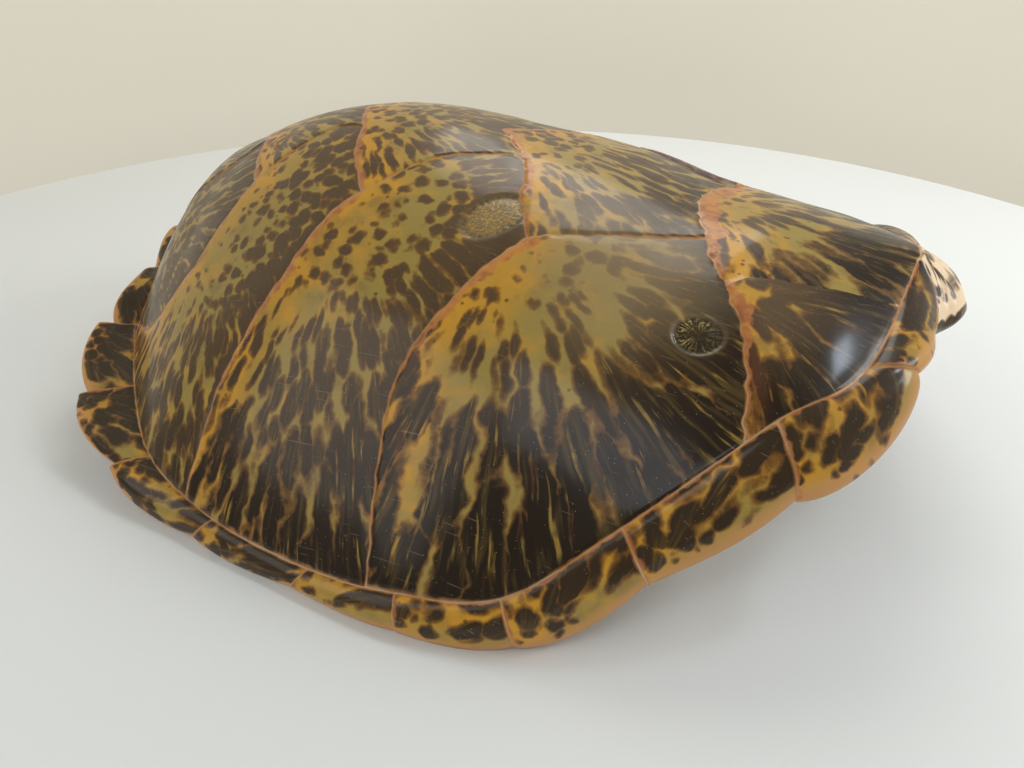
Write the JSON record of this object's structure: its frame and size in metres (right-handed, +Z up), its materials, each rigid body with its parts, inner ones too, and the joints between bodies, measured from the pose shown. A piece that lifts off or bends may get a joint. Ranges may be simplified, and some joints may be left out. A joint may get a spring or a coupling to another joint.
{
  "type": "sea turtle shell",
  "caption": "Domed upper shell of a sea turtle, hollow beneath, with polished tortoiseshell scutes, a saw-edged rear margin and a neck lip; lies on its side margins.",
  "frame": {"origin": "on the table, under the middle of the shell's bounding box", "axes": "+X towards the neck, +Y to the turtle's left, +Z up through the dome"},
  "size_m": [0.6033, 0.511, 0.1979],
  "materials": {
    "tortoiseshell": "high polish, amber with dark brown streaks and blotches; dull bone underneath"
  },
  "bodies": {
    "root": {"carapace": "tortoiseshell"}
  },
  "joints": []
}
